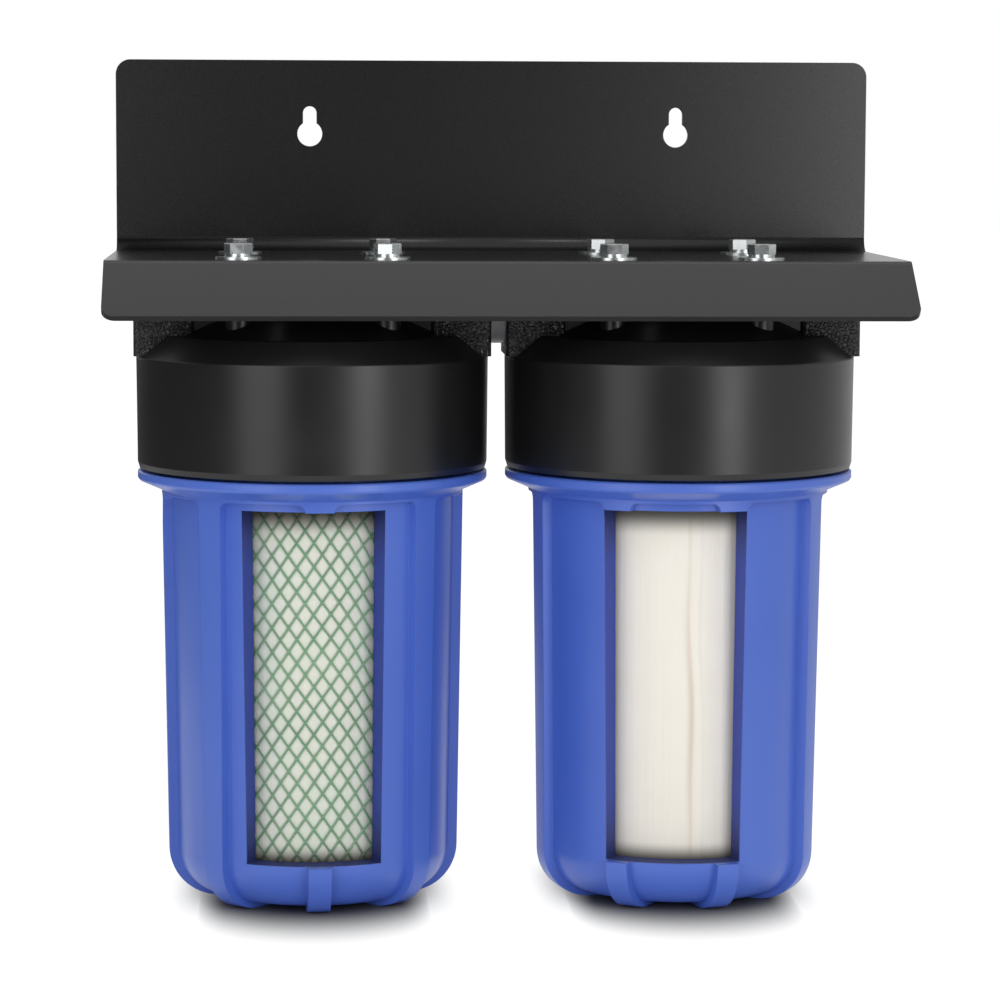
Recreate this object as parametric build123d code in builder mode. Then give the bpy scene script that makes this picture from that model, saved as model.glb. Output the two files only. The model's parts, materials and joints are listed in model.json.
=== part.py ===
from build123d import *
import os
from math import cos, radians, sin, sqrt, tan

# A two-stage water filter: two windowed housings, each with a cartridge, hang side by side
# under a bent steel wall bracket. Millimetres, +Z up, the viewer stands at -Y. The origin is on
# the surface that the housings stand on, under the middle of the whole part.
os.makedirs("parts", exist_ok=True)

# Bracket: one bent sheet with a back plate, a shelf and a lip that leans out and down
bracket_margin = 17.9
sheet = 3
plate_height = 103.8
shelf_depth = 152.4
lip_forward = 34.3
lip_drop = 26.7
bend_radius = 3.5
plate_corner_radius = 8
lip_corner_radius = 7
wall_clearance = 6

# Keyholes in the back plate
keyhole_spacing = 201.4
keyhole_height = 63.7
keyhole_radius = 6.8
keyhole_slot_width = 7.4
keyhole_rise = 11.3

# Fasteners that hold each cap to the shelf. Both caps sit a little to one side in the slots
bolt_spacing_width = 76.3
bolt_spacing_depth = 78.8
slot_play = -3.8
bolt_slot_length = 29
bolt_slot_width = 9
bolt_radius = 3.9
bolt_clearance = 0.1
bolt_hold = 16
bolt_turns = {"left": (-4, -13, 1, -1), "right": (-4, -6, -17, -20)}
head_sides = 6
head_across_flats = 12.7
head_height = 5.3
head_crown = 0.4
lock_washer_radius = 6.9
lock_washer_thickness = 1.7
lock_washer_split = 1.2
flat_washer_radius = 11.7
flat_washer_thickness = 1.3
washer_clearance = 0.2

# Housings: a blue sump with eight ribs screws up into a black cap
window_turns = {"left": -0.1, "right": -7.1}
rib_phases = {"left": 2.3, "right": 22.5}
rib_count = 8
rib_height = 5
rib_width_top = 15.2
rib_width_bottom = 11.8
rib_side_fillet = 4
rib_root = 8.9
rib_collar = 1.7
foot_drop = 2.7
body_radius_top = 74
body_taper = 3.1
body_height = 213.2
corner_radius = 26
inner_corner_cut = 12
sump_wall = 6.5
floor_thickness = 6.3
rim_reach = 11.5
rim_thickness = 4.7
rim_slope = 5.4
rim_chamfer = 0.8
neck_step = 6
neck_wall = 12
neck_height = 25
neck_lead_in = 1.5

# Window cut through the sump wall, with a surround that stands in towards the cartridge
window_width_top = 73.3
window_width_bottom = 70.6
window_sill_height = 27.3
window_head_margin = 4
window_splay = 21
surround_margin = 6
surround_gap = 1.2
surround_root = 2

# Seal between the neck and the cap
seal_inset = 5.5
seal_section = 3
seal_sides = 8
seal_proud = 0.6
seal_groove_side = 0.2

# Cap
parting_gap = 1.5
skirt_height = 57.9
skirt_draft = 0.5
skirt_chamfer = 0.9
skirt_chamfer_height = 3
shoulder_fillet = 1.2
shoulder_run = 13
cap_height = 106.4
ledge_height = 11.4
ledge_width = 9
dome_run = 37
crown_height = 29
cap_wall = 6
thread_clearance = 1.8
seal_clearance = 0.4
land_step = 2
boss_radius = 6.8
boss_hole_depth = 20

# Port block across each cap, with an inlet and an outlet on one line
port_proud = 0.6
port_half_depth = 25
port_collar = 31
port_lift = 0.8
port_waist = 3
port_corner = 2.5
port_drop = 28.4
port_top_gap = 4
port_thread_radius = 15.15
port_thread_depth = 22
port_mouth_chamfer = 1.2
channel_radius = 11
fall_radius = 9
fall_margin = 3
stem_radius = 24
stem_bore = 12
stem_foot_radius = 17
stem_drop = 15.5

# Joining nipple, with a socket in each inner port
joint_gap = 7.8
nipple_radius = 16.7
nipple_bore = 12.5
nipple_depth = 20
nipple_clearance = 0.1
nipple_end_gap = 0.5

# Cartridges: core, medium, wrap, end caps and gaskets
cartridge_room = 7.4
end_cap_thickness = 6
end_cap_chamfer = 1
gasket_radius = 23
gasket_thickness = 3
gasket_bore = 13.5
core_radius = 17
core_wall = 2.5
core_slots_round = 4
core_rows = 6
core_slot_width = 7
core_slot_height = 24
layer_gap = 0.1
wrap_thickness = 4
sleeve_thickness = 0.7
seam_width = 6
seam_turn = -88
seam_thickness = 0.6
seat_gap = 0.3
post_radius = 16
post_bore = 12
post_height = 5

# One named overrun for everything that is cut right through
overrun = 6

# Radii, from the body of the sump outwards
body_radius_bottom = body_radius_top - body_taper
neck_radius = body_radius_top + neck_step
rim_radius = neck_radius + rim_reach
skirt_radius_top = rim_radius + skirt_draft
ledge_outer_radius = skirt_radius_top - shoulder_run
ledge_inner_radius = ledge_outer_radius - ledge_width
crown_radius = ledge_inner_radius - dome_run
rib_radius_top = body_radius_top + rib_height
rib_radius_bottom = body_radius_bottom + rib_height
rib_inner_radius = body_radius_bottom - corner_radius - rib_root

# Radii inside the housings
cap_bore = neck_radius + thread_clearance
cavity_radius = neck_radius - neck_wall
seal_radius = cavity_radius + seal_inset
seal_land = cavity_radius - land_step
fall_offset = seal_land - cap_wall - fall_margin - fall_radius
cartridge_radius = body_radius_bottom - sump_wall - cartridge_room
sleeve_radius = cartridge_radius + layer_gap + sleeve_thickness
surround_radius = sleeve_radius + surround_gap
window_depth = sqrt(body_radius_top**2 - (window_width_top / 2) ** 2)

# Widths and depths that follow from the housings
port_reach = skirt_radius_top + port_proud
axis_spacing = 2 * port_reach + joint_gap
bracket_width = axis_spacing + 2 * (skirt_radius_top + bracket_margin)
wall_standoff = skirt_radius_top + wall_clearance

# Heights, from the surface up
base_z = foot_drop
collar_z = base_z + body_height - rib_collar
cone_z = base_z + body_height
rim_z = cone_z + rim_slope
rim_top_z = rim_z + rim_thickness
neck_top_z = rim_top_z + neck_height
skirt_z = rim_top_z + parting_gap
shoulder_z = skirt_z + skirt_height
cap_top_z = skirt_z + cap_height
shelf_z = cap_top_z + sheet
plate_top_z = shelf_z + plate_height
ledge_z = shoulder_z + ledge_height
crown_z = shoulder_z + crown_height
block_z = shoulder_z + port_lift
port_z = shelf_z - port_drop
floor_z = base_z + floor_thickness
post_z = floor_z + post_height
gasket_z = post_z + seat_gap
cartridge_z = gasket_z + gasket_thickness
stem_z = shoulder_z - stem_drop
cartridge_top_z = stem_z - seat_gap - gasket_thickness
cartridge_length = cartridge_top_z - cartridge_z
window_head_z = collar_z - window_head_margin
window_height = window_head_z - window_sill_height
seal_z = neck_top_z + seal_proud - seal_section
seat_z = neck_top_z + seal_proud + seal_clearance

# Depths, from the middle of the whole part
overall_depth = sheet + max(shelf_depth + lip_forward, wall_standoff + skirt_radius_top)
rear_y = overall_depth / 2
plate_y = rear_y - sheet
shelf_front_y = plate_y - shelf_depth
lip_tip_y = shelf_front_y - lip_forward
axis_y = plate_y - wall_standoff

# The two stages, and the side each stands on
stage_sides = {"left": -1, "right": 1}


def slots_x(stage):
    """Place of the middle of a housing's slots in the shelf along X."""
    return stage_sides[stage] * axis_spacing / 2


def stage_x(stage):
    """Place of a housing's axis along X."""
    return slots_x(stage) + slot_play


def section_plane(stage):
    """Upright plane through a housing's axis: local x is the radius, local y the height."""
    return Plane(origin=(stage_x(stage), axis_y, 0), x_dir=(1, 0, 0), z_dir=(0, -1, 0))


def level_plane(stage, height):
    """Level plane on a housing's axis at a height above the surface."""
    return Plane(origin=(stage_x(stage), axis_y, height))


def spin_axis(stage):
    """A housing's own axis."""
    return Axis((stage_x(stage), axis_y, 0), (0, 0, 1))


def facing_plane(stage, angle, distance):
    """Plane facing out of a housing. Angle 0 faces the viewer, positive turns towards +X."""
    out = (sin(radians(angle)), -cos(radians(angle)), 0)
    across = (cos(radians(angle)), sin(radians(angle)), 0)
    origin = (stage_x(stage) + out[0] * distance, axis_y + out[1] * distance, 0)
    return Plane(origin=origin, x_dir=across, z_dir=out)


def window_points(distance):
    """Corners of the window on a facing plane: its sides close in towards the axis."""
    gain = (distance - window_depth) * tan(radians(window_splay))
    low = window_width_bottom / 2 + gain
    high = window_width_top / 2 + gain
    sill = [(-low, window_sill_height), (low, window_sill_height)]
    head = [(high, window_head_z), (-high, window_head_z)]
    return sill + head


def save(piece, label):
    """Name a finished piece and write it to its own file."""
    piece.part.label = label
    export_step(piece.part, f"parts/{label}.step")


# Wall bracket
with BuildPart() as bracket:
    with BuildSketch(Plane.YZ.offset(-bracket_width / 2)):
        with BuildLine():
            FilletPolyline(
                (plate_y, plate_top_z),
                (plate_y, shelf_z),
                (shelf_front_y, shelf_z),
                (lip_tip_y, shelf_z - lip_drop),
                radius=[bend_radius, bend_radius + sheet],
            )
            offset(amount=sheet, side=Side.LEFT)
        make_face()
    extrude(amount=bracket_width)
    fillet(bracket.edges().filter_by(Axis.Y).group_by(Axis.Z)[-1], plate_corner_radius)
    lip_edge = bracket.faces().sort_by(Axis.Y)[0]
    fillet(lip_edge.edges().sort_by(SortBy.LENGTH)[:2], lip_corner_radius)
    with BuildSketch(Plane.XZ.offset(-rear_y - overrun)):
        with Locations((0, shelf_z + keyhole_height)):
            with GridLocations(keyhole_spacing, 0, 2, 1):
                Circle(keyhole_radius)
            with Locations((0, keyhole_rise / 2)):
                with GridLocations(keyhole_spacing, 0, 2, 1):
                    SlotCenterToCenter(keyhole_rise, keyhole_slot_width, rotation=90)
    extrude(amount=sheet + 2 * overrun, mode=Mode.SUBTRACT)
    with BuildSketch(Plane.XY.offset(shelf_z - sheet - overrun)):
        with Locations(*[(slots_x(stage), axis_y) for stage in stage_sides]):
            with GridLocations(bolt_spacing_width, bolt_spacing_depth, 2, 2):
                SlotOverall(bolt_slot_length, bolt_slot_width)
    extrude(amount=sheet + 2 * overrun, mode=Mode.SUBTRACT)
save(bracket, "wall_bracket")


for stage, side in stage_sides.items():
    # Cap: outer form
    with BuildPart() as cap:
        with BuildSketch(section_plane(stage)) as cap_section:
            with BuildLine():
                Polyline(
                    (0, skirt_z),
                    (rim_radius - skirt_chamfer, skirt_z),
                    (rim_radius, skirt_z + skirt_chamfer_height),
                    (skirt_radius_top, shoulder_z),
                    (ledge_outer_radius, ledge_z),
                    (ledge_inner_radius, ledge_z),
                    (crown_radius, crown_z),
                    (0, crown_z),
                    close=True,
                )
            make_face()
            shoulder = cap_section.vertices().sort_by_distance((skirt_radius_top, shoulder_z))[0]
            fillet(shoulder, shoulder_fillet)
        revolve(axis=spin_axis(stage))

        # Port block with a squared collar at each end
        with BuildSketch(level_plane(stage, block_z)):
            Rectangle(2 * port_reach - port_collar, 2 * (port_half_depth - port_waist))
        extrude(amount=cap_top_z - port_top_gap - block_z)
        with BuildSketch(level_plane(stage, block_z)):
            with GridLocations(2 * port_reach - port_collar, 0, 2, 1):
                RectangleRounded(port_collar, 2 * port_half_depth, port_corner)
        extrude(amount=cap_top_z - port_top_gap / 2 - block_z)

        # Bosses that meet the underside of the shelf
        with BuildSketch(level_plane(stage, shoulder_z)):
            with GridLocations(bolt_spacing_width, bolt_spacing_depth, 2, 2):
                Circle(boss_radius)
        extrude(amount=cap_top_z - shoulder_z)

        # Hollow: bore for the neck, seal seat, roof and a stem down to the cartridge
        with BuildSketch(section_plane(stage)):
            with BuildLine():
                Polyline(
                    (stem_radius, shoulder_z),
                    (seal_land - cap_wall, shoulder_z),
                    (seal_land, shoulder_z - cap_wall),
                    (seal_land, seat_z),
                    (cap_bore, seat_z),
                    (cap_bore, skirt_z - overrun),
                    (0, skirt_z - overrun),
                    (0, stem_z),
                    (stem_foot_radius, stem_z),
                    (stem_radius, stem_z + cap_wall),
                    close=True,
                )
            make_face()
        revolve(axis=spin_axis(stage), mode=Mode.SUBTRACT)

        # Water ways: inlet on the left falls into the cavity, outlet rises through the stem
        with BuildSketch(level_plane(stage, stem_z - overrun)):
            Circle(stem_bore)
        extrude(amount=port_z - stem_z + overrun, mode=Mode.SUBTRACT)
        with BuildSketch(level_plane(stage, shoulder_z - overrun)):
            with Locations((-fall_offset, 0)):
                Circle(fall_radius)
        extrude(amount=port_z - shoulder_z + overrun, mode=Mode.SUBTRACT)
        for end in (-1, 1):
            reach = port_reach - (fall_offset - fall_radius if end < 0 else 0)
            mouth = Plane(
                origin=(stage_x(stage) + end * port_reach, axis_y, port_z),
                x_dir=(0, 1, 0),
                z_dir=(end, 0, 0),
            )
            joined = end == -side
            bore = nipple_radius + nipple_clearance if joined else port_thread_radius
            depth = nipple_depth if joined else port_thread_depth
            with BuildSketch(mouth):
                Circle(channel_radius)
            extrude(amount=-reach, mode=Mode.SUBTRACT)
            with BuildSketch(mouth):
                Circle(bore)
            extrude(amount=-depth, mode=Mode.SUBTRACT)
            end_face = cap.faces().sort_by(Axis.X)[-1 if end > 0 else 0]
            chamfer(end_face.inner_wires()[0].edges(), port_mouth_chamfer)
        with BuildSketch(level_plane(stage, cap_top_z)):
            with GridLocations(bolt_spacing_width, bolt_spacing_depth, 2, 2):
                Circle(bolt_radius + bolt_clearance)
        extrude(amount=-boss_hole_depth, mode=Mode.SUBTRACT)
    save(cap, f"{stage}_cap")

    # Ribs: bars that taper downward, flare under the collar and are trimmed to one envelope
    with BuildPart() as rib_bars:
        for index in range(rib_count):
            angle = window_turns[stage] + rib_phases[stage] + index * 360 / rib_count
            with BuildSketch(facing_plane(stage, angle, rib_inner_radius)) as rib_face:
                with BuildLine():
                    Polyline(
                        (-rib_width_bottom / 2, 0),
                        (rib_width_bottom / 2, 0),
                        (rib_width_top / 2, collar_z),
                        (rib_width_top, collar_z),
                        (rib_width_top, rim_z),
                        (-rib_width_top, rim_z),
                        (-rib_width_top, collar_z),
                        (-rib_width_top / 2, collar_z),
                        close=True,
                    )
                make_face()
                for across in (-1, 1):
                    corner = (across * rib_width_top / 2, collar_z)
                    fillet(rib_face.vertices().sort_by_distance(corner)[0], rib_side_fillet)
            extrude(amount=rim_radius)
    with BuildPart() as ribs:
        with BuildSketch(section_plane(stage)) as envelope:
            with BuildLine():
                Polyline(
                    (rib_inner_radius, 0),
                    (rib_radius_bottom, 0),
                    (rib_radius_top, cone_z),
                    (rib_radius_top, rim_z),
                    (rib_inner_radius, rim_z),
                    close=True,
                )
            make_face()
            fillet(envelope.vertices().sort_by_distance((rib_radius_bottom, 0))[0], corner_radius)
        revolve(axis=spin_axis(stage))
        add(rib_bars.part, mode=Mode.INTERSECT)

    # Surround of the window: a patch that stands in from the wall towards the cartridge
    with BuildPart() as surround:
        with BuildSketch(level_plane(stage, window_sill_height - surround_margin)):
            Circle(body_radius_bottom - surround_root)
            Circle(surround_radius, mode=Mode.SUBTRACT)
        extrude(amount=window_height + 2 * surround_margin)
        with BuildSketch(facing_plane(stage, window_turns[stage], 0)):
            with Locations((0, window_sill_height + window_height / 2)):
                Rectangle(window_width_top + 2 * surround_margin, window_height + 2 * surround_margin)
        extrude(amount=body_radius_top, mode=Mode.INTERSECT)

    # Sump: body, collar, rim and neck
    with BuildPart() as sump:
        with BuildSketch(section_plane(stage)) as sump_section:
            with BuildLine():
                Polyline(
                    (0, base_z),
                    (body_radius_bottom, base_z),
                    (body_radius_top, collar_z),
                    (rib_radius_top, collar_z),
                    (rib_radius_top, cone_z),
                    (rim_radius, rim_z),
                    (rim_radius, rim_top_z),
                    (neck_radius, rim_top_z),
                    (neck_radius, neck_top_z),
                    (0, neck_top_z),
                    close=True,
                )
            make_face()
            body_corner = sump_section.vertices().sort_by_distance((body_radius_bottom, base_z))[0]
            fillet(body_corner, corner_radius - foot_drop)
            for height in (rim_z, rim_top_z):
                chamfer(sump_section.vertices().sort_by_distance((rim_radius, height))[0], rim_chamfer)
            chamfer(sump_section.vertices().sort_by_distance((neck_radius, neck_top_z))[0], neck_lead_in)
        revolve(axis=spin_axis(stage))
        add(ribs.part)
        with BuildSketch(section_plane(stage)) as cavity:
            with BuildLine():
                Polyline(
                    (0, floor_z),
                    (body_radius_bottom - sump_wall, floor_z),
                    (body_radius_top - sump_wall, rim_z),
                    (cavity_radius, rim_top_z),
                    (cavity_radius, neck_top_z + overrun),
                    (0, neck_top_z + overrun),
                    close=True,
                )
            make_face()
            inner_corner = cavity.vertices().sort_by_distance((body_radius_bottom - sump_wall, floor_z))[0]
            chamfer(inner_corner, inner_corner_cut)
        revolve(axis=spin_axis(stage), mode=Mode.SUBTRACT)

        # Post that the cartridge stands on, and the groove for the seal
        with BuildSketch(level_plane(stage, floor_z - floor_thickness / 2)):
            Circle(post_radius)
            Circle(post_bore, mode=Mode.SUBTRACT)
        extrude(amount=post_height + floor_thickness / 2)
        with BuildSketch(level_plane(stage, seal_z - seal_section - seal_groove_side)):
            Circle(seal_radius + seal_section + seal_groove_side)
            Circle(seal_radius - seal_section - seal_groove_side, mode=Mode.SUBTRACT)
        extrude(amount=2 * seal_section + overrun, mode=Mode.SUBTRACT)

        # Window
        add(surround.part)
        for distance in (surround_radius / 2, rim_radius):
            with BuildSketch(facing_plane(stage, window_turns[stage], distance)):
                with BuildLine():
                    Polyline(*window_points(distance), close=True)
                make_face()
        loft(mode=Mode.SUBTRACT)
    save(sump, f"{stage}_sump")

    # Seal
    with BuildPart() as seal:
        with BuildSketch(section_plane(stage)):
            with Locations((seal_radius, seal_z)):
                RegularPolygon(seal_section, seal_sides, major_radius=False, rotation=180 / seal_sides)
        revolve(axis=spin_axis(stage))
    save(seal, f"{stage}_sump_seal")

    # Cartridge core: a tube with rows of slots
    layer_z = cartridge_z + end_cap_thickness
    layer_length = cartridge_length - 2 * end_cap_thickness
    with BuildPart() as core:
        with BuildSketch(level_plane(stage, layer_z)):
            Circle(core_radius)
            Circle(core_radius - core_wall, mode=Mode.SUBTRACT)
        extrude(amount=layer_length)
        for index in range(core_slots_round // 2):
            with BuildSketch(facing_plane(stage, index * 360 / core_slots_round, -core_radius - overrun)):
                with Locations((0, layer_z + layer_length / 2)):
                    with GridLocations(0, layer_length / core_rows, 1, core_rows):
                        Rectangle(core_slot_width, core_slot_height)
            extrude(amount=2 * (core_radius + overrun), mode=Mode.SUBTRACT)
    save(core, f"{stage}_core_tube")

    # Filter medium round the core, and the wrap round the medium
    with BuildPart() as medium:
        with BuildSketch(level_plane(stage, layer_z)):
            Circle(cartridge_radius - wrap_thickness - layer_gap)
            Circle(core_radius + layer_gap, mode=Mode.SUBTRACT)
        extrude(amount=layer_length)
    save(medium, "left_carbon_block" if stage == "left" else "right_depth_medium")
    with BuildPart() as wrap:
        with BuildSketch(level_plane(stage, layer_z)):
            Circle(cartridge_radius)
            Circle(cartridge_radius - wrap_thickness, mode=Mode.SUBTRACT)
        extrude(amount=layer_length)
        if stage == "right":
            with BuildSketch(level_plane(stage, layer_z)):
                Circle(cartridge_radius + seam_thickness)
                Circle(cartridge_radius - seam_thickness, mode=Mode.SUBTRACT)
                with Locations(Location((0, 0), seam_turn)):
                    Rectangle(
                        2 * cartridge_radius, seam_width,
                        align=(Align.MIN, Align.CENTER), mode=Mode.INTERSECT,
                    )
            extrude(amount=layer_length)
    save(wrap, f"{stage}_outer_wrap")
    if stage == "left":
        with BuildPart() as sleeve:
            with BuildSketch(level_plane(stage, layer_z)):
                Circle(sleeve_radius)
                Circle(cartridge_radius + layer_gap, mode=Mode.SUBTRACT)
            extrude(amount=layer_length)
        save(sleeve, "left_net_sleeve")

    # End caps and gaskets, the same at the foot and the head of the cartridge
    ends = {"lower": (cartridge_z, gasket_z), "upper": (layer_z + layer_length, cartridge_top_z)}
    for end_name, (cap_level, gasket_level) in ends.items():
        with BuildPart() as end_cap:
            with BuildSketch(level_plane(stage, cap_level)):
                Circle(cartridge_radius)
                Circle(gasket_bore, mode=Mode.SUBTRACT)
            extrude(amount=end_cap_thickness)
            chamfer(end_cap.edges().filter_by(GeomType.CIRCLE).group_by(SortBy.RADIUS)[-1], end_cap_chamfer)
        save(end_cap, f"{stage}_{end_name}_end_cap")
        with BuildPart() as gasket:
            with BuildSketch(level_plane(stage, gasket_level)):
                Circle(gasket_radius)
                Circle(gasket_bore, mode=Mode.SUBTRACT)
            extrude(amount=gasket_thickness)
        save(gasket, f"{stage}_{end_name}_gasket")

    # Bolts with a lock washer and a flat washer each
    lock_z = shelf_z + flat_washer_thickness
    head_z = lock_z + lock_washer_thickness
    bolt_places = [
        (x * bolt_spacing_width / 2, y * bolt_spacing_depth / 2) for y in (-1, 1) for x in (-1, 1)
    ]
    with BuildPart() as flat_washers:
        with BuildSketch(level_plane(stage, shelf_z)):
            with Locations(*bolt_places):
                Circle(flat_washer_radius)
                Circle(bolt_radius + washer_clearance, mode=Mode.SUBTRACT)
        extrude(amount=flat_washer_thickness)
    save(flat_washers, f"{stage}_flat_washers")
    with BuildPart() as lock_washers:
        with BuildSketch(level_plane(stage, lock_z)):
            with Locations(*bolt_places):
                Circle(lock_washer_radius)
                Circle(bolt_radius + washer_clearance, mode=Mode.SUBTRACT)
                Rectangle(
                    lock_washer_radius + overrun, lock_washer_split,
                    align=(Align.MIN, Align.CENTER), mode=Mode.SUBTRACT,
                )
        extrude(amount=lock_washer_thickness)
    save(lock_washers, f"{stage}_lock_washers")
    with BuildPart() as bolts:
        for place, turn in zip(bolt_places, bolt_turns[stage]):
            with BuildSketch(level_plane(stage, head_z)):
                with Locations(place):
                    RegularPolygon(head_across_flats / 2, head_sides, major_radius=False, rotation=turn)
            extrude(amount=head_height)
        chamfer(bolts.edges().group_by(Axis.Z)[-1], head_crown)
        with BuildSketch(level_plane(stage, cap_top_z - bolt_hold)):
            with Locations(*bolt_places):
                Circle(bolt_radius)
        extrude(amount=head_z - cap_top_z + bolt_hold)
    save(bolts, f"{stage}_cap_bolts")

# Joining nipple between the caps
with BuildPart() as nipple:
    nipple_reach = joint_gap / 2 + nipple_depth - nipple_end_gap
    nipple_start = (slot_play - nipple_reach, axis_y, port_z)
    with BuildSketch(Plane(origin=nipple_start, x_dir=(0, 1, 0), z_dir=(1, 0, 0))):
        Circle(nipple_radius)
        Circle(nipple_bore, mode=Mode.SUBTRACT)
    extrude(amount=2 * nipple_reach)
save(nipple, "joining_nipple")
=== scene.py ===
import json
import random
from math import cos, erf, exp, pi, radians, sin, sqrt, tanh

import bpy
from mathutils import Matrix, Vector


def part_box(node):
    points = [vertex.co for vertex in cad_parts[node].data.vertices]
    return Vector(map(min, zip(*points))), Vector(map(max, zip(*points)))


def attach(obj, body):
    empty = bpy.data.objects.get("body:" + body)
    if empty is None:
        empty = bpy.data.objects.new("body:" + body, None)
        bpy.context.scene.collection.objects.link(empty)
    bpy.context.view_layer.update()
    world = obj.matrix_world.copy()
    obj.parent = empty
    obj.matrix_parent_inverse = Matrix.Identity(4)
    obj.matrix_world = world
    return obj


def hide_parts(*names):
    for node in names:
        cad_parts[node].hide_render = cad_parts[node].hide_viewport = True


# Looks of a two-stage water filter on a wall bracket. Metres, +Z up, the viewer stands at -Y.
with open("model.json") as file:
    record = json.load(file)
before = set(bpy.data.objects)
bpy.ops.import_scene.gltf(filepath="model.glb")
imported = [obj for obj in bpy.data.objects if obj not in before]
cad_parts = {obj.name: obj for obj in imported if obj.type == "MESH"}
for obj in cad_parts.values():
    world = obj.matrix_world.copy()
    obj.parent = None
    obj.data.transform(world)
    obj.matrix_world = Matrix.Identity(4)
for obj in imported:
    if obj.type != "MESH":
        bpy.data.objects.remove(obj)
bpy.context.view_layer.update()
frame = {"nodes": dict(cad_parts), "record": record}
random.seed(7)

mm = 0.001
stages = ("left", "right")
collection = bpy.context.scene.collection

# Heights over which painted shade darkens the cartridge at the window's foot and head, where the sump's wall
# would shade it
foot_shade = (26 * mm, 36 * mm)
head_shade = (195 * mm, 208 * mm)


# Camera: at the photograph's place, a long lens a little to the left of the middle
def make_camera():
    place = Vector((-0.11705, -1.89254, 0.40462))
    turn, tip, roll = radians(3.503), radians(5.913), radians(0.223)
    lens = 129.6
    forward = Vector((sin(turn) * cos(tip), cos(turn) * cos(tip), -sin(tip)))
    level = Vector((cos(turn), -sin(turn), 0))
    upward = level.cross(forward)
    right = cos(roll) * level + sin(roll) * upward
    top = right.cross(forward)
    camera = bpy.data.objects.new("camera", bpy.data.cameras.new("camera"))
    camera.data.lens = lens
    camera.data.sensor_width = 36
    camera.data.clip_end = 50
    columns = Matrix((right, top, -forward)).transposed().to_4x4()
    camera.matrix_world = Matrix.Translation(place) @ columns
    collection.objects.link(camera)
    bpy.context.scene.camera = camera


# Small tools for materials
def new_material(name):
    """A material, its tree and its principled shader."""
    made = bpy.data.materials.new(name)
    made.use_nodes = True
    return made, made.node_tree, made.node_tree.nodes["Principled BSDF"]


def put(tree, kind, inputs=None, **settings):
    """A shader node with its settings, and with its inputs set or linked."""
    made = tree.nodes.new("ShaderNode" + kind)
    for name, value in settings.items():
        setattr(made, name, value)
    for name, value in (inputs or {}).items():
        if isinstance(value, bpy.types.NodeSocket):
            tree.links.new(value, made.inputs[name])
        else:
            made.inputs[name].default_value = value
    return made


def math_node(tree, operation, first, *others):
    """Value of one kind of sum carried on over numbers or sockets."""
    total = first
    for other in others or (0.0,):
        total = put(tree, "Math", {0: total, 1: other}, operation=operation).outputs[0]
    return total


def place_of(tree, stretch=(1, 1, 1)):
    """Place on the part in metres, stretched along its axes."""
    coordinates = put(tree, "TexCoord").outputs["Object"]
    return put(tree, "Mapping", {"Vector": coordinates, "Scale": stretch}).outputs[0]


def noise(tree, place, scale, detail=3.0, roughness=0.5):
    """Noise value between 0 and 1. Scale is in features per metre."""
    inputs = {"Vector": place, "Scale": scale, "Detail": detail, "Roughness": roughness}
    return put(tree, "TexNoise", inputs).outputs[0]


def spread(tree, value, low, high, start=0.3, end=0.7, kind="LINEAR"):
    """Value mapped from start..end to low..high."""
    inputs = {"Value": value, "From Min": start, "From Max": end, "To Min": low, "To Max": high}
    return put(tree, "MapRange", inputs, interpolation_type=kind).outputs[0]


def blend_colours(tree, factor, first, second):
    """Colour between two colours or sockets."""
    inputs = {0: factor, 6: first, 7: second}
    return put(tree, "Mix", inputs, data_type="RGBA", clamp_factor=True).outputs[2]


def bumped(tree, layers, normal=None):
    """Normal with bump layers, each a height socket, its depth in metres and its strength."""
    for height, depth, strength in layers:
        inputs = {"Height": height, "Distance": depth, "Strength": strength}
        if normal is not None:
            inputs["Normal"] = normal
        normal = put(tree, "Bump", inputs).outputs[0]
    return normal


def from_axis(tree, place):
    """Distance along X from the nearer housing's axis, place behind it along Y, and height."""
    left, right = [sum(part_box(f"{stage}_cap"), Vector()) / 2 for stage in stages]
    parts = put(tree, "SeparateXYZ", {"Vector": place}).outputs
    aside = math_node(tree, "ABSOLUTE", math_node(tree, "SUBTRACT", parts[0], (left.x + right.x) / 2))
    across = math_node(tree, "ABSOLUTE", math_node(tree, "SUBTRACT", aside, (right.x - left.x) / 2))
    return across, math_node(tree, "SUBTRACT", parts[1], left.y), parts[2]


def colour(red, green, blue):
    """Linear colour from the 0..255 values of a screen."""
    def straight(value):
        share = value / 255
        return share / 12.92 if share <= 0.04045 else ((share + 0.055) / 1.055) ** 2.4
    return straight(red), straight(green), straight(blue), 1


# Materials
def powder_coat():
    """Satin black powder coat. Faces that look down are matt, so that the lip's cut edge stays dark."""
    made, tree, shader = new_material("black_powder_coat")
    place = place_of(tree)
    cloud = noise(tree, place, 14, 4)
    grain = noise(tree, place, 1500, 2)
    peel = noise(tree, place, 420, 2)
    base = blend_colours(tree, spread(tree, cloud, 0, 1), colour(14, 14, 15), colour(18, 18, 19))
    tree.links.new(base, shader.inputs["Base Color"])
    facing = put(tree, "NewGeometry").outputs["True Normal"]
    upward = put(tree, "SeparateXYZ", {"Vector": facing}).outputs[2]
    under = spread(tree, upward, 0.9, 0, -0.45, -0.3)
    rough = math_node(tree, "MAXIMUM", spread(tree, grain, 0.26, 0.31), under)
    tree.links.new(rough, shader.inputs["Roughness"])
    shader.inputs["Specular IOR Level"].default_value = 0.75
    edge = put(tree, "Bevel", {"Radius": 0.6 * mm}, samples=4).outputs[0]
    layers = [(peel, 0.02 * mm, 0.3), (grain, 0.01 * mm, 0.4)]
    tree.links.new(bumped(tree, layers, edge), shader.inputs["Normal"])
    return made


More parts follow.
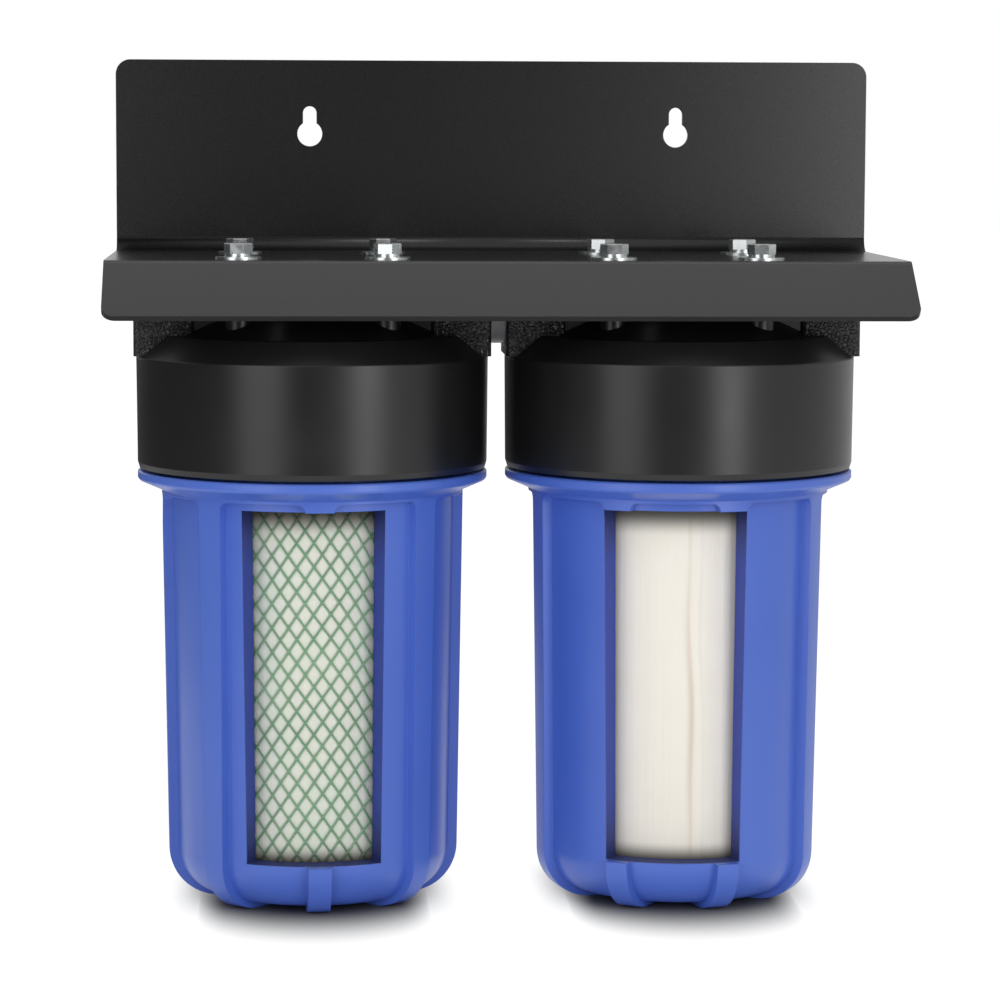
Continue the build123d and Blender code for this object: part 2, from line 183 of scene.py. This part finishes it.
def cap_plastic():
    """Satin black, with a leathery skin on the port blocks' collars."""
    made, tree, shader = new_material("black_plastic")
    place = place_of(tree)
    cloud = noise(tree, place, 22, 4)
    grain = noise(tree, place, 2200, 2)
    base = blend_colours(tree, spread(tree, cloud, 0, 1), colour(21, 21, 22), colour(26, 26, 27))
    tree.links.new(base, shader.inputs["Base Color"])
    tree.links.new(spread(tree, cloud, 0.31, 0.36), shader.inputs["Roughness"])
    collar_start, collar_half_width, collar_height = 61.6 * mm, 25.2 * mm, 49.5 * mm
    across, behind, height = from_axis(tree, place)
    outward = math_node(tree, "GREATER_THAN", across, collar_start)
    narrow = math_node(tree, "LESS_THAN", math_node(tree, "ABSOLUTE", behind), collar_half_width)
    above = math_node(tree, "GREATER_THAN", height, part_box("left_cap")[1].z - collar_height)
    collar = math_node(tree, "MULTIPLY", outward, narrow, above)
    cells = put(tree, "TexVoronoi", {"Vector": place, "Scale": 480.0}, feature="DISTANCE_TO_EDGE")
    wrinkle = math_node(tree, "MINIMUM", cells.outputs[0], 0.22)
    leather = math_node(tree, "MULTIPLY", wrinkle, collar)
    edge = put(tree, "Bevel", {"Radius": 0.5 * mm}, samples=4).outputs[0]
    layers = [(leather, 1.5 * mm, 0.8), (grain, 0.015 * mm, 0.4)]
    tree.links.new(bumped(tree, layers, edge), shader.inputs["Normal"])
    return made


def blue_plastic():
    """Satin blue, duller where the window was cut through the wall, with painted shade on the window's
    reveals.
    """
    made, tree, shader = new_material("blue_plastic")
    place = place_of(tree)
    cloud = noise(tree, place, 9, 4)
    flow = noise(tree, place_of(tree, (1, 1, 0.15)), 60, 4)
    grain = noise(tree, place, 1800, 2)
    across, behind, height = from_axis(tree, place)
    cut_foot, cut_head = 26 * mm, 212 * mm
    wall_foot, wall_head = 70.6 * mm, 73.6 * mm
    light_foot, light_head = (30 * mm, 60 * mm), (182 * mm, 208 * mm)
    out = math_node(tree, "SQRT", math_node(tree, "ADD", math_node(tree, "MULTIPLY", across, across),
                                            math_node(tree, "MULTIPLY", behind, behind)))
    wall = spread(tree, height, wall_foot, wall_head, cut_foot, cut_head)
    cut = math_node(tree, "MULTIPLY", math_node(tree, "LESS_THAN", out, wall),
                    math_node(tree, "GREATER_THAN", height, cut_foot))
    # Painted shade: the reveals' blue is darker than the wall's, and darker again towards the window's foot
    # and head
    middle = math_node(tree, "MULTIPLY", spread(tree, height, 0, 1, *light_foot),
                       spread(tree, height, 1, 0, *light_head))
    base = blend_colours(tree, spread(tree, cloud, 0, 1), colour(70, 102, 194), colour(76, 109, 201))
    reveal_painted_shade = blend_colours(tree, middle, colour(32, 44, 106), colour(42, 64, 158))
    tree.links.new(blend_colours(tree, cut, base, reveal_painted_shade), shader.inputs["Base Color"])
    dull = math_node(tree, "MULTIPLY", cut, 0.62)
    rough = math_node(tree, "MAXIMUM", spread(tree, flow, 0.30, 0.40), dull)
    tree.links.new(rough, shader.inputs["Roughness"])
    edge = put(tree, "Bevel", {"Radius": 0.9 * mm}, samples=4).outputs[0]
    layers = [(cloud, 0.5 * mm, 0.15), (grain, 0.02 * mm, 0.3)]
    tree.links.new(bumped(tree, layers, edge), shader.inputs["Normal"])
    shader.inputs["Specular IOR Level"].default_value = 0.55
    return made


def zinc():
    """Zinc-plated steel, a little cloudy."""
    made, tree, shader = new_material("zinc_steel")
    place = place_of(tree)
    cloud = noise(tree, place, 260, 3)
    drawn = noise(tree, place_of(tree, (1, 1, 0.2)), 1500, 3)
    base = blend_colours(tree, spread(tree, cloud, 0, 1), colour(214, 220, 222), colour(234, 237, 236))
    tree.links.new(base, shader.inputs["Base Color"])
    tree.links.new(spread(tree, cloud, 0.24, 0.34), shader.inputs["Roughness"])
    shader.inputs["Metallic"].default_value = 1
    tree.links.new(bumped(tree, [(drawn, 0.01 * mm, 0.4)]), shader.inputs["Normal"])
    return made


def shaded_ends(tree, place, base, painted_shade):
    """Colour darkened by painted shade at the window's foot and head, where the sump's wall would shade the
    cartridge.
    """
    height = put(tree, "SeparateXYZ", {"Vector": place}).outputs[2]
    foot = spread(tree, height, 1, 0, *foot_shade, "SMOOTHSTEP")
    head = spread(tree, height, 0, 1, *head_shade, "SMOOTHSTEP")
    return blend_colours(tree, math_node(tree, "MAXIMUM", foot, head), base, painted_shade)


def plain_plastic(name, low, high, rough, painted_shade=None):
    """Moulded plastic or rubber with a fine grain between two tones, and painted shade at the window's ends
    if given.
    """
    made, tree, shader = new_material(name)
    place = place_of(tree)
    cloud = noise(tree, place, 40, 4)
    grain = noise(tree, place, 1600, 3)
    base = blend_colours(tree, spread(tree, cloud, 0, 1), low, high)
    # Painted shade at the window's foot and head
    if painted_shade:
        base = shaded_ends(tree, place, base, painted_shade)
    tree.links.new(base, shader.inputs["Base Color"])
    tree.links.new(spread(tree, grain, rough - 0.06, rough + 0.06), shader.inputs["Roughness"])
    layers = [(cloud, 0.2 * mm, 0.2), (grain, 0.03 * mm, 0.5)]
    tree.links.new(bumped(tree, layers), shader.inputs["Normal"])
    return made


def carbon():
    """Pressed carbon: black grains with a few that glint."""
    made, tree, shader = new_material("carbon")
    place = place_of(tree)
    grains = put(tree, "TexVoronoi", {"Vector": place, "Scale": 900.0})
    tone = put(tree, "SeparateColor", {"Color": grains.outputs["Color"]}).outputs[0]
    base = blend_colours(tree, tone, colour(16, 16, 17), colour(52, 52, 54))
    tree.links.new(base, shader.inputs["Base Color"])
    tree.links.new(spread(tree, tone, 0.75, 0.45, 0, 1), shader.inputs["Roughness"])
    layers = [(grains.outputs["Distance"], 0.5 * mm, 0.8)]
    tree.links.new(bumped(tree, layers), shader.inputs["Normal"])
    return made


def fibres(name, low, high, stretch, seam_tint=None, painted_shade=None):
    """Matted fibres between two tones, drawn out along one axis, with a seam tint and painted shade at the
    window's ends if given.
    """
    made, tree, shader = new_material(name)
    place = place_of(tree)
    cloud = noise(tree, place, 55, 4)
    drawn = noise(tree, place_of(tree, stretch), 900, 5, 0.65)
    lint = noise(tree, place, 2400, 3, 0.7)
    shade = math_node(tree, "ADD", math_node(tree, "MULTIPLY", drawn, 0.5),
                      math_node(tree, "MULTIPLY", cloud, 0.5))
    base = blend_colours(tree, spread(tree, shade, 0, 1, 0.35, 0.65), low, high)
    if seam_tint:
        marks = put(tree, "Attribute", attribute_name="seam_tint").outputs["Fac"]
        base = blend_colours(tree, marks, base, seam_tint)
    # Painted shade at the window's foot and head
    if painted_shade:
        base = shaded_ends(tree, place, base, painted_shade)
    tree.links.new(base, shader.inputs["Base Color"])
    shader.inputs["Roughness"].default_value = 0.9
    shader.inputs["Specular IOR Level"].default_value = 0.2
    shader.inputs["Sheen Weight"].default_value = 0.15
    layers = [(drawn, 0.25 * mm, 0.5), (lint, 0.15 * mm, 0.4)]
    tree.links.new(bumped(tree, layers), shader.inputs["Normal"])
    return made


materials = {
    "black_powder_coat": powder_coat(),
    "black_plastic": cap_plastic(),
    "blue_plastic": blue_plastic(),
    "zinc_steel": zinc(),
    "black_rubber": plain_plastic("black_rubber", colour(24, 24, 25), colour(32, 32, 33), 0.6),
    "white_rubber": plain_plastic("white_rubber", colour(214, 212, 206), colour(226, 224, 218), 0.6),
    "white_plastic": plain_plastic("white_plastic", colour(222, 222, 218), colour(232, 232, 229), 0.4),
    "grey_plastic": plain_plastic("grey_plastic", colour(118, 118, 121), colour(130, 130, 133), 0.42),
    # Net, fleece and wrap: their darkest colour is painted shade for the window's foot and head
    "green_net": plain_plastic(
        "green_net", colour(104, 150, 114), colour(126, 170, 132), 0.45, painted_shade=colour(52, 64, 52)
    ),
    "carbon": carbon(),
    "depth_medium": fibres("depth_medium", colour(214, 210, 200), colour(232, 229, 221), (1, 1, 0.3)),
    "fleece": fibres(
        "fleece", colour(214, 223, 207), colour(227, 223, 213), (1, 1, 0.6), painted_shade=colour(88, 86, 76)
    ),
    "spun_wrap": fibres(
        "spun_wrap", colour(239, 234, 220), colour(242, 237, 226), (1, 1, 0.02),
        seam_tint=colour(210, 190, 170), painted_shade=colour(92, 90, 84)
    ),
}


def dress_frame():
    """Give each CAD node the material of its slot in the record."""
    for row in frame["record"]["subparts"]:
        for place in frame["nodes"][row["node"]].material_slots:
            place.material = materials[row["material_slot"]]


# Small tools for pieces
def piece(name, points, faces, body, slot, smooth=True):
    """A mesh that rides on a body and takes a slot's material."""
    mesh = bpy.data.meshes.new(name)
    mesh.from_pydata(points, [], faces)
    mesh.validate()
    mesh.materials.append(materials[slot])
    if smooth:
        mesh.shade_smooth()
    made = bpy.data.objects.new(name, mesh)
    collection.objects.link(made)
    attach(made, body)
    return made


def round_form(node):
    """Middle, radius, foot and head of a node that is round about an upright axis."""
    lowest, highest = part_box(node)
    middle = (lowest + highest) / 2
    return middle, (highest.x - lowest.x) / 2, lowest.z, highest.z


def tube_faces(rounds, rows):
    """Faces over a tube's points, which stand in rows of one round each."""
    faces = []
    for row in range(rows):
        for count in range(rounds):
            near = row * rounds + count
            beside = row * rounds + (count + 1) % rounds
            faces.append((near, beside, beside + rounds, near + rounds))
    return faces


def sweep(points, faces, rings):
    """Add a skin over rings of equal length, closed at both ends, to lists of points and faces."""
    start = len(points)
    size = len(rings[0])
    for ring in rings:
        points.extend(ring)
    for index in range(len(rings) - 1):
        for step in range(size):
            near = start + index * size + step
            next_near = start + index * size + (step + 1) % size
            faces.append((near, next_near, next_near + size, near + size))
    faces.append(tuple(start + step for step in reversed(range(size))))
    faces.append(tuple(start + (len(rings) - 1) * size + step for step in range(size)))


# Net round the left cartridge: two families of strands, each a helix, dragged down at one side
net_strands = 41
net_lean = 0.71
net_wide = 0.50 * mm
net_thick = 0.34 * mm
net_lift = 0.45 * mm
net_layer = 0.06 * mm
net_wobble = 0.25 * mm
drag_turn = radians(36)
drag_spread = radians(15)
drag_slope = 0.62


def net_drag(turn, radius):
    """How far the net hangs down at a turn from the front, the same again after a whole turn."""
    fall = drag_slope * radius * drag_spread * sqrt(pi) / 2
    share = (erf((turn - drag_turn) / drag_spread) + 1) / 2
    return -2 * fall * (share - (turn + pi) / (2 * pi))


def net_height(turn, radius, lean, index):
    """Height of a strand, from the sleeve's foot, at a turn from the front."""
    pitch = 2 * pi / net_strands
    return net_drag(turn, radius) + lean * (turn - index * pitch) * radius / net_lean


def make_net():
    middle, _, foot, head = round_form("left_net_sleeve")
    core = round_form("left_outer_wrap")[1] + net_lift
    points, faces = [], []
    step = radians(1.2)
    for lean in (-1, 1):
        lift = net_layer * lean
        climb = (head - foot) * net_lean / core
        for index in range(-net_strands * 2, net_strands * 2):
            wobble = random.uniform(0, 2 * pi)
            rings = []
            for count in range(int(2 * pi / step) + 1):
                turn = -pi + count * step
                height = net_height(turn, core, lean, index) + net_wobble * sin(turn * 9 + wobble)
                if 0 <= height <= head - foot:
                    rings.append(net_ring(middle, core + lift, turn, foot + height, lean))
            if len(rings) > 1:
                sweep(points, faces, rings)
    net = piece("left_net", points, faces, "left_cartridge", "green_net")
    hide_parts("left_net_sleeve")


def net_ring(middle, radius, turn, height, lean):
    """Six points round a strand."""
    out = Vector((sin(turn), -cos(turn), 0))
    along = Vector((cos(turn) * net_lean, sin(turn) * net_lean, lean)).normalized()
    side = out.cross(along)
    centre = Vector((middle.x, middle.y, height)) + out * radius
    ring = []
    for corner in range(6):
        angle = corner * pi / 3
        ring.append(centre + side * net_wide * cos(angle) + out * net_thick * sin(angle))
    return ring


# Right cartridge's wrap: streaked, with an overlap that wanders up its front
def make_right_wrap():
    middle, radius, foot, head = round_form("right_outer_wrap")
    rounds, rows = 480, 160
    seam_turn, fold_away = radians(1.6), 4.6 * mm
    points, seam_tints = [], []
    for row in range(rows + 1):
        share = row / rows
        height = foot + (head - foot) * share
        wander = 1.2 * mm / radius * sin(share * 7.0)
        ripple = 0.5 * mm / radius * sin(share * 19 + 1)
        edge_turn = seam_turn + wander + ripple
        for count in range(rounds):
            turn = 2 * pi * count / rounds - pi
            past = (turn - edge_turn) * radius
            lap = (1 + tanh(past / (0.5 * mm))) / 2
            fold = exp(-((past - fold_away - 0.6 * mm * sin(share * 11)) / (0.9 * mm)) ** 2)
            streak = sin(turn * 37 + sin(share * 3)) * 0.04 * mm + sin(turn * 83) * 0.02 * mm
            fade = exp(-max(past, 0) / (9 * mm))
            level = radius - 0.55 * mm + 0.35 * mm * lap * fade + 0.32 * mm * fold + streak
            points.append((middle.x + sin(turn) * level, middle.y - cos(turn) * level, height))
            # A warmer, darker tint on the lower sheet beside the overlap's edge, in bands up the seam
            shade = exp(-((past + 1.2 * mm) / (1.6 * mm)) ** 2) * (0.5 + 0.5 * sin(share * 8 - 1))
            seam_tints.append(0.5 * max(shade, 0) + 0.3 * exp(-((past + 0.3 * mm) / (0.9 * mm)) ** 2))
    wrap = piece("right_wrap", points, tube_faces(rounds, rows), "right_cartridge", "spun_wrap")
    marks = wrap.data.attributes.new("seam_tint", "FLOAT", "POINT")
    marks.data.foreach_set("value", seam_tints)
    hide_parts("right_outer_wrap")


# Left cartridge's fleece: swells a little between the strands of the net
def make_left_fleece():
    middle, radius, foot, head = round_form("left_outer_wrap")
    rounds, rows = 400, 210
    points = []
    pitch = 2 * pi / net_strands
    core = radius + net_lift
    inset, dent_depth, dent_width = 0.1 * mm, 0.35 * mm, 1.1 * mm
    for row in range(rows + 1):
        height = (head - foot) * row / rows
        for count in range(rounds):
            turn = 2 * pi * count / rounds - pi
            dent = 0
            for lean in (-1, 1):
                index = (turn - (height - net_drag(turn, core)) * lean * net_lean / core) / pitch
                away = abs(index - round(index)) * pitch * radius
                dent = max(dent, exp(-(away / dent_width) ** 2))
            level = radius - inset - dent_depth * dent
            points.append((middle.x + sin(turn) * level, middle.y - cos(turn) * level, foot + height))
    fleece = piece("left_fleece", points, tube_faces(rounds, rows), "left_cartridge", "fleece")
    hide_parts("left_outer_wrap")


# Bend between the bracket's plate and shelf: a fuller inner radius laid into the corner
def make_bend():
    lowest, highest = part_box("wall_bracket")
    radius, sheet, sunk, steps = 7.5 * mm, 3 * mm, 0.6 * mm, 16
    face = highest.y - sheet
    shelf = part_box("left_flat_washers")[0].z
    rings = []
    for side in (lowest.x, highest.x):
        ring = [Vector((side, face + sunk, shelf - sunk))]
        for step in range(steps + 1):
            angle = pi / 2 * step / steps
            ring.append(Vector((side, face - radius * (1 - cos(angle)), shelf + radius * (1 - sin(angle)))))
        rings.append(ring)
    points, faces = [], []
    sweep(points, faces, rings)
    piece("bracket_bend", points, faces, "head", "black_powder_coat")


# Threads: a ridge that climbs round an axis and fades in and out at its ends
def thread(name, centre, axis, start, radius, ridge, pitch, turns, width, body, slot):
    """A screw thread. A ridge below zero stands inward."""
    along = Vector(axis)
    first = Vector((0, 0, 1)) if abs(along.x) > 0.5 else Vector((1, 0, 0))
    second = along.cross(first)
    steps, fade_steps, root = int(turns * 72), 18, 0.3 * mm
    rings = []
    for step in range(steps + 1):
        angle = 2 * pi * turns * step / steps
        out = first * cos(angle) + second * sin(angle)
        fade = min(1, step / fade_steps, (steps - step) / fade_steps)
        middle = Vector(centre) + along * (start + pitch * angle / (2 * pi))
        high = radius + ridge * fade
        low = radius - root * (1 if ridge > 0 else -1)
        corners = ((low, -width), (high, -width * 0.4), (high, width * 0.4), (low, width))
        ring = [middle + out * level + along * shift / 2 for level, shift in corners]
        rings.append(ring if ridge > 0 else ring[::-1])
    points, faces = [], []
    sweep(points, faces, rings)
    piece(name, points, faces, body, slot, smooth=False)


def make_threads():
    """Meshing threads on the sumps' necks and in the caps, and pipe threads in the two outer ports."""
    pitch, turns, width = 6 * mm, 2.6, 2.8 * mm
    neck_radius, cap_radius, below_top = 80 * mm, 81.8 * mm, 22 * mm
    neck_ridge, cap_ridge = 1.4 * mm, -1.3 * mm
    port_start, port_ridge, port_pitch, port_turns, port_width = -4 * mm, -0.9 * mm, 2.2 * mm, 7.5, 1.9 * mm
    up = (0, 0, 1)
    for stage in stages:
        middle, _, _, top = round_form(f"{stage}_sump")
        centre = (middle.x, middle.y, top - below_top)
        thread(f"{stage}_neck_thread", centre, up, 0, neck_radius, neck_ridge, pitch, turns, width,
               f"{stage}_sump", "blue_plastic")
        thread(f"{stage}_cap_thread", centre, up, pitch / 2, cap_radius, cap_ridge, pitch, turns, width,
               "head", "black_plastic")
    for mount in frame["record"]["mounts"]:
        if mount["kind"] == "threaded_hole":
            inward = [-part for part in mount["axis"]]
            bore = mount["dims"]["r_mm"] * mm
            thread(mount["name"] + "_thread", mount["pos_m"], inward, port_start, bore, port_ridge,
                   port_pitch, port_turns, port_width, "head", "black_plastic")


# Light: an even sky for what is lit, a dark front for what is mirrored, white for the camera,
# and three soft boxes
def make_world():
    world = bpy.data.worlds.new("studio")
    world.use_nodes = True
    bpy.context.scene.world = world
    tree = world.node_tree
    tree.nodes.clear()
    rays = put(tree, "LightPath").outputs
    direction = put(tree, "TexCoord").outputs["Generated"]
    parts = put(tree, "SeparateXYZ", {"Vector": direction}).outputs
    behind = spread(tree, parts[1], 0, 1, 0.72, 0.98)
    above = spread(tree, parts[2], 0, 0.5, 0.3, 0.5)
    beside = spread(tree, parts[0], 0.04, 0.50, 0.2, 0.7)
    room = math_node(tree, "MAXIMUM", behind, above, beside)
    mirrored = math_node(tree, "MULTIPLY", rays["Is Glossy Ray"], room)
    lit = math_node(tree, "MULTIPLY", rays["Is Diffuse Ray"], 0.5)
    strength = math_node(tree, "MAXIMUM", lit, mirrored, rays["Is Camera Ray"], rays["Is Transmission Ray"])
    background = put(tree, "Background", {"Color": (1, 1, 1, 1), "Strength": strength})
    put(tree, "OutputWorld", {"Surface": background.outputs[0]})


def soft_box(name, turn, height, distance, width, tall, power):
    """Area light at a turn from the viewer's side, aimed at the object's middle."""
    light = bpy.data.lights.new(name, "AREA")
    light.shape = "RECTANGLE"
    light.size = width
    light.size_y = tall
    light.energy = power
    made = bpy.data.objects.new(name, light)
    target = Vector((0, 0, 0.22))
    made.location = target + Vector((sin(turn) * distance, -cos(turn) * distance, height))
    made.rotation_mode = "QUATERNION"
    made.rotation_quaternion = (made.location - target).to_track_quat("Z", "Y")
    collection.objects.link(made)


def make_floor():
    """White ground for camera, mirror and glass rays, with a painted contact shadow, pale matt for the light
    and a dim fill glow.
    """
    made, tree, shader = new_material("floor_white")
    tree.nodes.remove(shader)
    output = tree.nodes["Material Output"]
    rays = put(tree, "LightPath").outputs
    seen = math_node(tree, "MAXIMUM", rays["Is Camera Ray"], rays["Is Transmission Ray"])
    viewed = math_node(tree, "MAXIMUM", seen, rays["Is Glossy Ray"])
    place = place_of(tree)
    mottle = noise(tree, place, 2)
    pale = blend_colours(tree, mottle, (0.88, 0.88, 0.88, 1), (0.90, 0.90, 0.90, 1))
    matt = put(tree, "BsdfDiffuse", {"Color": blend_colours(tree, viewed, pale, (0.12, 0.12, 0.12, 1))})

    # Painted shadow: dark under each housing, drawn out towards the viewer, and only where the part covers
    # the sky
    across, behind, _ = from_axis(tree, place)
    foot_radius, cover_reach = 60 * mm, 160 * mm
    front_fade, side_fade, back_fade = (-8 * mm, 84 * mm), (45 * mm, 80 * mm), (20 * mm, 90 * mm)
    chord = math_node(tree, "SUBTRACT", foot_radius ** 2, math_node(tree, "MULTIPLY", across, across))
    disc = math_node(tree, "SQRT", math_node(tree, "MAXIMUM", chord, 0.0))
    front = math_node(tree, "MULTIPLY", math_node(tree, "ADD", behind, disc), -1.0)
    painted_shade = math_node(tree, "MULTIPLY", spread(tree, front, 1, 0, *front_fade, "SMOOTHSTEP"),
                     spread(tree, across, 1, 0, *side_fade, "SMOOTHSTEP"),
                     spread(tree, behind, 1, 0, *back_fade, "SMOOTHSTEP"))
    open_sky = put(tree, "AmbientOcclusion", {"Distance": cover_reach}, samples=12).outputs["AO"]
    covered = spread(tree, open_sky, 1, 0, 0.88, 1.0)
    shade = math_node(tree, "SUBTRACT", 1.0, math_node(tree, "MULTIPLY", covered, painted_shade))

    # What is mirrored: a white table that fades into a dimmer room, darker at the left
    side = spread(tree, put(tree, "SeparateXYZ", {"Vector": place}).outputs[0], 0.02, 0.75, 0.05, 1.0)
    away = put(tree, "VectorMath", {0: place}, operation="LENGTH").outputs["Value"]
    table = put(tree, "Mix", {0: spread(tree, away, 0, 1, 0.5, 1.3), 2: 1.0, 3: side}).outputs[0]
    mirrored = math_node(tree, "MULTIPLY", rays["Is Glossy Ray"], table)
    # Painted fill light: the floor glows a little for diffuse rays and lights the housings' lower curves
    fill_glow = math_node(tree, "MULTIPLY", rays["Is Diffuse Ray"], 0.15)
    strength = math_node(tree, "MULTIPLY", math_node(tree, "MAXIMUM", seen, mirrored, fill_glow), shade)
    glow = put(tree, "Emission", {"Strength": strength})
    both = put(tree, "AddShader", {0: matt.outputs[0], 1: glow.outputs[0]})
    tree.links.new(both.outputs[0], output.inputs["Surface"])
    mesh = bpy.data.meshes.new("floor")
    reach = 12
    corners = [(x * reach, y * reach, 0) for x, y in ((-1, -1), (1, -1), (1, 1), (-1, 1))]
    mesh.from_pydata(corners, [], [(0, 1, 2, 3)])
    mesh.materials.append(made)
    plane = bpy.data.objects.new("floor", mesh)
    collection.objects.link(plane)


make_camera()
dress_frame()
make_net()
make_left_fleece()
make_right_wrap()
make_bend()
make_threads()
make_world()
soft_box("key_right", radians(29.9), height=0.15, distance=1.33, width=0.38, tall=1.5, power=7.2)
soft_box("fill_left", radians(-36.6), height=0.15, distance=1.09, width=0.54, tall=1.5, power=4.9)
soft_box("top", radians(180), height=1.8, distance=0.55, width=1.6, tall=0.6, power=2.0)
make_floor()

bpy.context.scene.view_settings.view_transform = "Standard"
